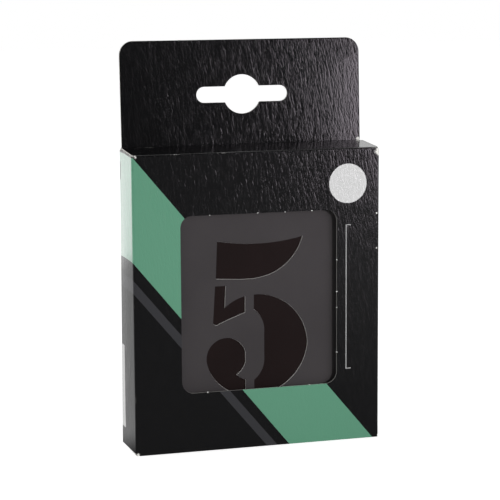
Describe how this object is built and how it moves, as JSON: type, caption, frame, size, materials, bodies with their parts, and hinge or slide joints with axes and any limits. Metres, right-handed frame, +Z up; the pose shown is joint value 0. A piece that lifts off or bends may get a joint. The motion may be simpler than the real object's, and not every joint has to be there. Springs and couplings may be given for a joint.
{
  "type": "lettering stencil set in a hanging carton",
  "caption": "Folding carton with a display window and a hang header, holding a pack of thin stencil plates with cut-out figures.",
  "frame": {"origin": "middle of the footprint, on the surface that the carton stands on", "axes": "+Z up to the top of the header, +X to the right along the front as the viewer sees it, +Y from the front towards the back"},
  "size_m": [0.0864, 0.0178, 0.1374],
  "materials": {
    "printed_board": "printed and gloss varnished, bare white board inside",
    "stencil_sheet": "matte dark grey sheet with paler cut edges",
    "backing_board": "matte, near black"
  },
  "bodies": {
    "carton": {"front_panel": "printed_board", "left_side_panel": "printed_board", "right_side_panel": "printed_board", "glue_flap": "printed_board", "back_panel": "printed_board", "header_front_layer": "printed_board"},
    "top_lid": {"top_lid": "printed_board"},
    "top_tuck_flap": {"top_tuck_flap": "printed_board"},
    "top_dust_flap_left": {"top_dust_flap_left": "printed_board"},
    "top_dust_flap_right": {"top_dust_flap_right": "printed_board"},
    "bottom_lid": {"bottom_lid": "printed_board"},
    "bottom_tuck_flap": {"bottom_tuck_flap": "printed_board"},
    "bottom_dust_flap_left": {"bottom_dust_flap_left": "printed_board"},
    "bottom_dust_flap_right": {"bottom_dust_flap_right": "printed_board"},
    "plate_01_five": {"plate_01_five": "stencil_sheet"},
    "backing_card": {"backing_card": "backing_board"},
    "plate_02_zero": {"plate_02_zero": "stencil_sheet"},
    "plate_03_one": {"plate_03_one": "stencil_sheet"},
    "plate_04_two": {"plate_04_two": "stencil_sheet"},
    "plate_05_three": {"plate_05_three": "stencil_sheet"},
    "plate_06_four": {"plate_06_four": "stencil_sheet"},
    "plate_07_six": {"plate_07_six": "stencil_sheet"},
    "plate_08_seven": {"plate_08_seven": "stencil_sheet"},
    "plate_09_eight": {"plate_09_eight": "stencil_sheet"},
    "plate_10_nine": {"plate_10_nine": "stencil_sheet"},
    "plate_11_zero": {"plate_11_zero": "stencil_sheet"},
    "plate_12_one": {"plate_12_one": "stencil_sheet"},
    "plate_13_two": {"plate_13_two": "stencil_sheet"},
    "plate_14_three": {"plate_14_three": "stencil_sheet"},
    "plate_15_four": {"plate_15_four": "stencil_sheet"},
    "plate_16_five": {"plate_16_five": "stencil_sheet"},
    "plate_17_six": {"plate_17_six": "stencil_sheet"},
    "plate_18_seven": {"plate_18_seven": "stencil_sheet"},
    "plate_19_eight": {"plate_19_eight": "stencil_sheet"},
    "plate_20_nine": {"plate_20_nine": "stencil_sheet"},
    "plate_21_full_stop": {"plate_21_full_stop": "stencil_sheet"},
    "plate_22_colon": {"plate_22_colon": "stencil_sheet"},
    "plate_23_dash": {"plate_23_dash": "stencil_sheet"},
    "plate_24_slash": {"plate_24_slash": "stencil_sheet"},
    "plate_25_plus": {"plate_25_plus": "stencil_sheet"},
    "plate_26_equals": {"plate_26_equals": "stencil_sheet"}
  },
  "joints": [
    {"name": "top_lid_hinge", "type": "hinge", "parent": "carton", "child": "top_lid", "pos_m": [0, -0.00895, 0.101], "axis": [1, 0, 0], "range_deg": [0, 160]},
    {"name": "top_tuck_fold", "type": "hinge", "parent": "top_lid", "child": "top_tuck_flap", "pos_m": [0, 0.007, 0.1006], "axis": [-1, 0, 0], "range_deg": [0, 40]},
    {"name": "top_dust_flap_left_hinge", "type": "hinge", "parent": "carton", "child": "top_dust_flap_left", "pos_m": [-0.0432, 0, 0.10055], "axis": [0, -1, 0], "range_deg": [0, 160]},
    {"name": "top_dust_flap_right_hinge", "type": "hinge", "parent": "carton", "child": "top_dust_flap_right", "pos_m": [0.0432, 0, 0.10055], "axis": [0, 1, 0], "range_deg": [0, 160]},
    {"name": "bottom_lid_hinge", "type": "hinge", "parent": "carton", "child": "bottom_lid", "pos_m": [0, 0.00895, 0], "axis": [1, 0, 0], "range_deg": [0, 160]},
    {"name": "bottom_tuck_fold", "type": "hinge", "parent": "bottom_lid", "child": "bottom_tuck_flap", "pos_m": [0, -0.0074, 0.0004], "axis": [-1, 0, 0], "range_deg": [0, 40]},
    {"name": "bottom_dust_flap_left_hinge", "type": "hinge", "parent": "carton", "child": "bottom_dust_flap_left", "pos_m": [-0.0432, 0, 0.00045], "axis": [0, 1, 0], "range_deg": [0, 160]},
    {"name": "bottom_dust_flap_right_hinge", "type": "hinge", "parent": "carton", "child": "bottom_dust_flap_right", "pos_m": [0.0432, 0, 0.00045], "axis": [0, -1, 0], "range_deg": [0, 160]},
    {"name": "plate_01_five_slide", "type": "slide", "parent": "carton", "child": "plate_01_five", "axis": [0, 0, 1], "range_m": [0, 0.01117]},
    {"name": "backing_card_slide", "type": "slide", "parent": "carton", "child": "backing_card", "axis": [0, 0, 1], "range_m": [0, 0.01187]},
    {"name": "plate_02_zero_slide", "type": "slide", "parent": "carton", "child": "plate_02_zero", "axis": [0, 0, 1], "range_m": [0, 0.01257]},
    {"name": "plate_03_one_slide", "type": "slide", "parent": "carton", "child": "plate_03_one", "axis": [0, 0, 1], "range_m": [0, 0.01326]},
    {"name": "plate_04_two_slide", "type": "slide", "parent": "carton", "child": "plate_04_two", "axis": [0, 0, 1], "range_m": [0, 0.01396]},
    {"name": "plate_05_three_slide", "type": "slide", "parent": "carton", "child": "plate_05_three", "axis": [0, 0, 1], "range_m": [0, 0.01466]},
    {"name": "plate_06_four_slide", "type": "slide", "parent": "carton", "child": "plate_06_four", "axis": [0, 0, 1], "range_m": [0, 0.01536]},
    {"name": "plate_07_six_slide", "type": "slide", "parent": "carton", "child": "plate_07_six", "axis": [0, 0, 1], "range_m": [0, 0.01606]},
    {"name": "plate_08_seven_slide", "type": "slide", "parent": "carton", "child": "plate_08_seven", "axis": [0, 0, 1], "range_m": [0, 0.01675]},
    {"name": "plate_09_eight_slide", "type": "slide", "parent": "carton", "child": "plate_09_eight", "axis": [0, 0, 1], "range_m": [0, 0.01745]},
    {"name": "plate_10_nine_slide", "type": "slide", "parent": "carton", "child": "plate_10_nine", "axis": [0, 0, 1], "range_m": [0, 0.01815]},
    {"name": "plate_11_zero_slide", "type": "slide", "parent": "carton", "child": "plate_11_zero", "axis": [0, 0, 1], "range_m": [0, 0.01885]},
    {"name": "plate_12_one_slide", "type": "slide", "parent": "carton", "child": "plate_12_one", "axis": [0, 0, 1], "range_m": [0, 0.01955]},
    {"name": "plate_13_two_slide", "type": "slide", "parent": "carton", "child": "plate_13_two", "axis": [0, 0, 1], "range_m": [0, 0.02024]},
    {"name": "plate_14_three_slide", "type": "slide", "parent": "carton", "child": "plate_14_three", "axis": [0, 0, 1], "range_m": [0, 0.02094]},
    {"name": "plate_15_four_slide", "type": "slide", "parent": "carton", "child": "plate_15_four", "axis": [0, 0, 1], "range_m": [0, 0.02164]},
    {"name": "plate_16_five_slide", "type": "slide", "parent": "carton", "child": "plate_16_five", "axis": [0, 0, 1], "range_m": [0, 0.02234]},
    {"name": "plate_17_six_slide", "type": "slide", "parent": "carton", "child": "plate_17_six", "axis": [0, 0, 1], "range_m": [0, 0.02304]},
    {"name": "plate_18_seven_slide", "type": "slide", "parent": "carton", "child": "plate_18_seven", "axis": [0, 0, 1], "range_m": [0, 0.02374]},
    {"name": "plate_19_eight_slide", "type": "slide", "parent": "carton", "child": "plate_19_eight", "axis": [0, 0, 1], "range_m": [0, 0.02443]},
    {"name": "plate_20_nine_slide", "type": "slide", "parent": "carton", "child": "plate_20_nine", "axis": [0, 0, 1], "range_m": [0, 0.02513]},
    {"name": "plate_21_full_stop_slide", "type": "slide", "parent": "carton", "child": "plate_21_full_stop", "axis": [0, 0, 1], "range_m": [0, 0.02583]},
    {"name": "plate_22_colon_slide", "type": "slide", "parent": "carton", "child": "plate_22_colon", "axis": [0, 0, 1], "range_m": [0, 0.02653]},
    {"name": "plate_23_dash_slide", "type": "slide", "parent": "carton", "child": "plate_23_dash", "axis": [0, 0, 1], "range_m": [0, 0.02723]},
    {"name": "plate_24_slash_slide", "type": "slide", "parent": "carton", "child": "plate_24_slash", "axis": [0, 0, 1], "range_m": [0, 0.02792]},
    {"name": "plate_25_plus_slide", "type": "slide", "parent": "carton", "child": "plate_25_plus", "axis": [0, 0, 1], "range_m": [0, 0.02862]},
    {"name": "plate_26_equals_slide", "type": "slide", "parent": "carton", "child": "plate_26_equals", "axis": [0, 0, 1], "range_m": [0, 0.02932]}
  ],
  "couplings": [
    {"joint": "top_tuck_fold", "follows": "plate_26_equals_slide", "rad_per_m": 23.809},
    {"joint": "top_dust_flap_left_hinge", "follows": "plate_26_equals_slide", "rad_per_m": 95.238},
    {"joint": "top_dust_flap_right_hinge", "follows": "plate_26_equals_slide", "rad_per_m": 95.238},
    {"joint": "bottom_tuck_fold", "follows": "bottom_lid_hinge", "ratio": 0.25},
    {"joint": "bottom_dust_flap_left_hinge", "follows": "bottom_lid_hinge", "ratio": 1},
    {"joint": "bottom_dust_flap_right_hinge", "follows": "bottom_lid_hinge", "ratio": 1},
    {"joint": "top_lid_hinge", "follows": "plate_26_equals_slide", "rad_per_m": 95.238},
    {"joint": "plate_01_five_slide", "follows": "plate_26_equals_slide", "ratio": 0.38095},
    {"joint": "backing_card_slide", "follows": "plate_26_equals_slide", "ratio": 0.40476},
    {"joint": "plate_02_zero_slide", "follows": "plate_26_equals_slide", "ratio": 0.42857},
    {"joint": "plate_03_one_slide", "follows": "plate_26_equals_slide", "ratio": 0.45238},
    {"joint": "plate_04_two_slide", "follows": "plate_26_equals_slide", "ratio": 0.47619},
    {"joint": "plate_05_three_slide", "follows": "plate_26_equals_slide", "ratio": 0.5},
    {"joint": "plate_06_four_slide", "follows": "plate_26_equals_slide", "ratio": 0.52381},
    {"joint": "plate_07_six_slide", "follows": "plate_26_equals_slide", "ratio": 0.54762},
    {"joint": "plate_08_seven_slide", "follows": "plate_26_equals_slide", "ratio": 0.57143},
    {"joint": "plate_09_eight_slide", "follows": "plate_26_equals_slide", "ratio": 0.59524},
    {"joint": "plate_10_nine_slide", "follows": "plate_26_equals_slide", "ratio": 0.61905},
    {"joint": "plate_11_zero_slide", "follows": "plate_26_equals_slide", "ratio": 0.64286},
    {"joint": "plate_12_one_slide", "follows": "plate_26_equals_slide", "ratio": 0.66667},
    {"joint": "plate_13_two_slide", "follows": "plate_26_equals_slide", "ratio": 0.69048},
    {"joint": "plate_14_three_slide", "follows": "plate_26_equals_slide", "ratio": 0.71429},
    {"joint": "plate_15_four_slide", "follows": "plate_26_equals_slide", "ratio": 0.73809},
    {"joint": "plate_16_five_slide", "follows": "plate_26_equals_slide", "ratio": 0.76191},
    {"joint": "plate_17_six_slide", "follows": "plate_26_equals_slide", "ratio": 0.78571},
    {"joint": "plate_18_seven_slide", "follows": "plate_26_equals_slide", "ratio": 0.80952},
    {"joint": "plate_19_eight_slide", "follows": "plate_26_equals_slide", "ratio": 0.83333},
    {"joint": "plate_20_nine_slide", "follows": "plate_26_equals_slide", "ratio": 0.85714},
    {"joint": "plate_21_full_stop_slide", "follows": "plate_26_equals_slide", "ratio": 0.88095},
    {"joint": "plate_22_colon_slide", "follows": "plate_26_equals_slide", "ratio": 0.90476},
    {"joint": "plate_23_dash_slide", "follows": "plate_26_equals_slide", "ratio": 0.92857},
    {"joint": "plate_24_slash_slide", "follows": "plate_26_equals_slide", "ratio": 0.95238},
    {"joint": "plate_25_plus_slide", "follows": "plate_26_equals_slide", "ratio": 0.97619}
  ]
}
